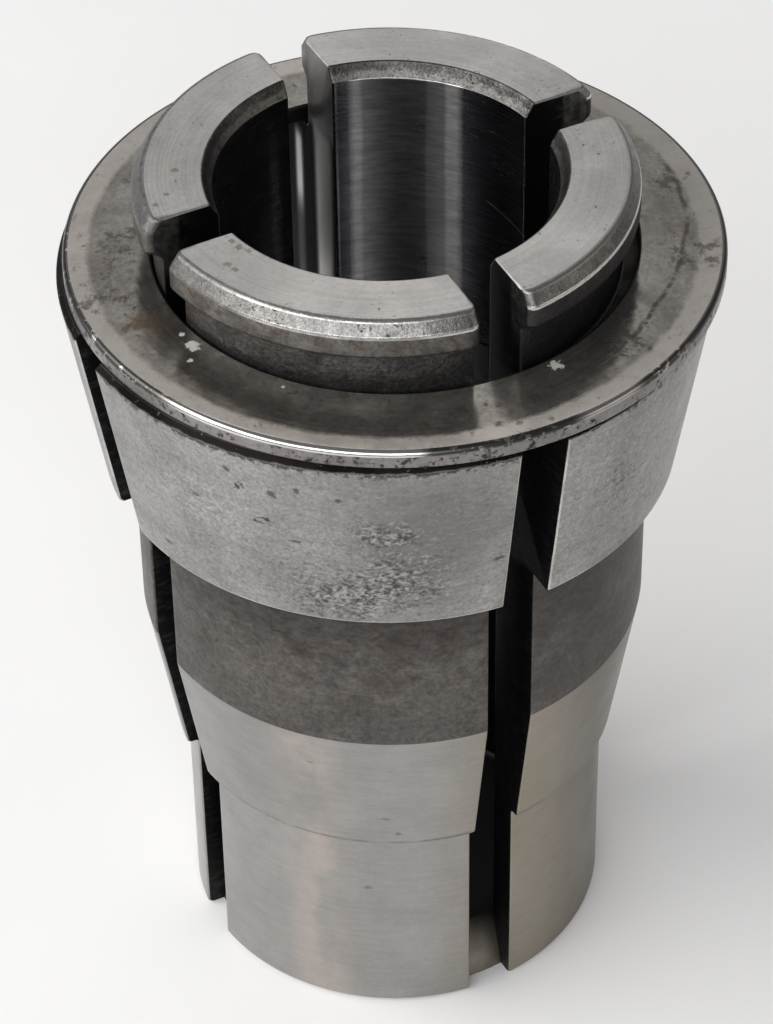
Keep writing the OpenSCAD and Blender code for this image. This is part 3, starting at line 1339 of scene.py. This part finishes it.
def body_finishes() -> dict[str, Steel]:
    """Lists the finishes of the body.

    Returns:
        The finishes by name.
    """
    rusty = Spot(-1.9, -23.5, 57.4, 1.2, 1.0)
    streak = Spot(-3.2, -23.9, 60.6, 1.0, 0.8)
    tail = Steel(
        "ground_tail", (0.35, 0.341, 0.33), (0.315, 0.306, 0.294), 0.3, grain_tone=0.04, mottle_size=4.0,
        mottle=0.09, speckle=0.1, pit_limit=0.8, extra=(mark_and_shade_tail,))
    neck = Steel(
        "oxide_neck", (0.132, 0.122, 0.114), (0.10, 0.093, 0.087), 0.46, grain_pitch=0.4, grain_tone=0.12,
        grain_depth=0.006, patina_size=5.0, mottle_size=0.8, mottle=0.35, speckle=0.7, pit_limit=0.67,
        pit_depth=0.015, pit_colour=(0.03, 0.028, 0.026), lump_size=0.8, lump_depth=0.02, extra=(line_and_shade_neck,))
    head = Steel(
        "ground_head", (0.35, 0.34, 0.33), (0.275, 0.267, 0.258), 0.36, mottle_size=1.5, mottle=0.25,
        speckle_size=0.3, speckle=0.6, pit_size=0.5, pit_limit=0.66, pit_colour=(0.05, 0.042, 0.035),
        pit_gain=0.2, pit_spots=(rusty, streak), extra=(etch_head,))
    worn = Steel(
        "worn_edge", (0.55, 0.54, 0.52), (0.40, 0.39, 0.375), 0.26, Grain.NONE, patina=FIRM,
        mottle_size=0.6, mottle=0.4, pit_limit=0.7)
    # The nose's edges are worn bright, with painted shade and a painted highlight laid over them.
    worn_nose_with_painted_light = Steel(
        "worn_nose_edge_with_painted_light", (0.50, 0.49, 0.475), (0.30, 0.292, 0.28), 0.27, Grain.NONE, patina_size=1.5,
        mottle_size=0.4, mottle=0.6, pit_limit=0.66, pit_size=0.3, lump_size=0.25, lump_depth=0.012,
        extra=(shade_nose_sides, light_and_shade_nose_edges))
    # The seam under the ring is nearly black: dirt, and painted shade where the ring overhangs it.
    dirt_and_shade_seam = Steel(
        "dirt_and_painted_shade_seam", (0.014, 0.012, 0.011), (0.008, 0.007, 0.007), 0.6, Grain.NONE, patina=FIRM,
        pit_size=0.45, pit_limit=0.63, pit_colour=(0.34, 0.32, 0.29), pit_depth=-0.03, extra=(lighten_seam_foot,))
    groove = Steel(
        "groove_oxide", (0.125, 0.12, 0.117), (0.06, 0.057, 0.055), 0.38, grain_pitch=0.3, grain_depth=0.01,
        patina_size=2.0, mottle_size=0.5, mottle=0.5, speckle_size=0.3, speckle=1.0, lump_size=0.35,
        lump_depth=0.03, pit_limit=0.64, metal=0.85, extra=(shade_under_lip,))
    lip = Steel(
        "lip_steel", (0.22, 0.21, 0.198), (0.12, 0.11, 0.102), 0.36, patina_size=1.5, mottle_size=0.6,
        mottle=0.35, speckle=0.7, pit_limit=0.63, stain=(0.13, 0.085, 0.065), stain_share=0.3,
        stain_size=1.0, extra=(shade_under_lip,))
    bevel = Steel(
        "coarse_bevel", (0.25, 0.244, 0.235), (0.16, 0.155, 0.148), 0.34, Grain.ALONG, grain_pitch=0.15,
        grain_depth=0.012, grain_tone=0.2, patina_size=1.2, mottle_size=0.35, mottle=0.35, speckle_size=0.18,
        speckle=0.9, lump_size=0.2, lump_depth=0.016, pit_limit=0.62, pit_size=0.3,
        pit_colour=(0.06, 0.055, 0.05), extra=(shade_nose_sides,))
    nose = Steel(
        "faced_nose", (0.42, 0.41, 0.397), (0.37, 0.36, 0.348), 0.42, Grain.FACING, grain_pitch=0.16,
        grain_tone=0.3, grain_depth=0.008, mottle=0.06, speckle=0.16, pit_limit=0.65, pit_size=0.33,
        pit_colour=(0.11, 0.10, 0.09), extra=(light_and_shade_nose,))
    mouth = Steel(
        "mouth_bevel", (0.098, 0.095, 0.092), (0.048, 0.046, 0.044), 0.32, grain_pitch=0.35,
        grain_depth=0.02, grain_tone=0.5, patina_size=1.2, mottle_size=0.3, mottle=0.5, speckle_size=0.16,
        speckle=1.0, lump_size=0.2, lump_depth=0.025, pit_limit=0.62, pit_size=0.3,
        pit_colour=(0.04, 0.037, 0.034), extra=(wear_mouth,))
    bore = Steel(
        "bore_steel", (0.17, 0.17, 0.19), (0.11, 0.11, 0.125), 0.2, grain_depth=0.045, grain_tone=0.35,
        patina_size=5.0, mottle_size=2.0, pit_limit=0.75, extra=(paint_bore_reflections_and_marks,))
    sawn = Steel(
        "sawn_wall", (0.25, 0.247, 0.24), (0.19, 0.187, 0.18), 0.36, Grain.NONE, patina_size=4.0,
        mottle=0.15, extra=(shade_and_light_slots,))
    return {
        "tail_end": tail, "tail": tail, "rear_cone": tail, "neck": neck, "head": head, "worn": worn,
        "worn_nose_with_painted_light": worn_nose_with_painted_light, "head_edge": dirt_and_shade_seam,
        "shoulder": Steel("shoulder_steel", (0.05, 0.047, 0.044), (0.025, 0.023, 0.022), 0.6, patina=FIRM),
        "groove": groove, "lip": lip, "bevel": bevel, "nose": nose, "mouth": mouth, "bore": bore,
        "relief": Steel("relief_steel", (0.14, 0.14, 0.15), (0.08, 0.08, 0.088), 0.3, patina=FIRM,
                        grain_pitch=0.3, grain_depth=0.03),
        "sawn": sawn,
        "ramp": Steel("saw_ramp", (0.27, 0.245, 0.20), (0.20, 0.18, 0.15), 0.45, Grain.NONE, patina=FIRM,
                      extra=(shade_ramp,)),
    }


def ring_finishes() -> dict[str, Steel]:
    """Lists the finishes of the ring.

    Returns:
        The finishes by name.
    """
    top = Steel(
        "ring_face", (0.215, 0.204, 0.186), (0.14, 0.132, 0.118), 0.1, Grain.FACING, grain_pitch=0.25,
        grain_depth=0.003, grain_tone=0.25, patina_size=3.0, patina=(0.3, 0.68), rough_patina=0.1,
        mottle_size=1.2, mottle=0.3, speckle=0.5, stain=(0.11, 0.092, 0.068), stain_share=0.15,
        stain_size=2.2, pit_size=0.6, pit_limit=0.66, pit_soft=0.12, pit_cover=0.75,
        pit_colour=(0.05, 0.042, 0.035), pit_depth=0.01, lump_size=5.0, lump_depth=0.035, metal=0.75,
        centre=(0.52, 0.175), extra=(lay_ring_marks_and_shade,))
    rolled = Steel(
        "rolled_edge", (0.62, 0.605, 0.58), (0.48, 0.465, 0.445), 0.14, patina=FIRM, mottle=0.08,
        pit_size=0.4, pit_limit=0.66, pit_depth=0.015, extra=(shade_rolled_edge,))
    rim = Steel(
        "ring_rim", (0.28, 0.262, 0.257), (0.19, 0.176, 0.171), 0.3, mottle_size=0.7, mottle=0.35,
        pit_size=0.55, pit_limit=0.535, pit_soft=0.1, pit_colour=(0.02, 0.016, 0.015))
    return {
        "top": top, "rolled": rolled, "rim": rim,
        "hole": Steel("ring_hole", (0.05, 0.048, 0.046), (0.025, 0.024, 0.023), 0.5, patina=FIRM),
        "under": Steel("ring_under", (0.2, 0.19, 0.18), (0.1, 0.09, 0.09), 0.4, patina=FIRM),
    }


def note_sizes(boxes: Iterable[tuple[Vector, Vector]]) -> None:
    """Turns the boxes of the solids and of the looks into lists, which it doesn't keep."""
    [[list(corner) for corner in box] for box in boxes]


def main() -> None:
    """Builds the pieces in order and sets the studio up."""
    logging.basicConfig(level=logging.INFO)
    body = ColletBody(body_finishes()).build()
    log.info("body: %s", body.name)
    ring = CaptiveRing(ring_finishes()).build()
    log.info("ring: %s", ring.name)
    Studio().build()
    note_sizes((CAD_BOX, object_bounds()))


if __name__ == "__main__":
    main()
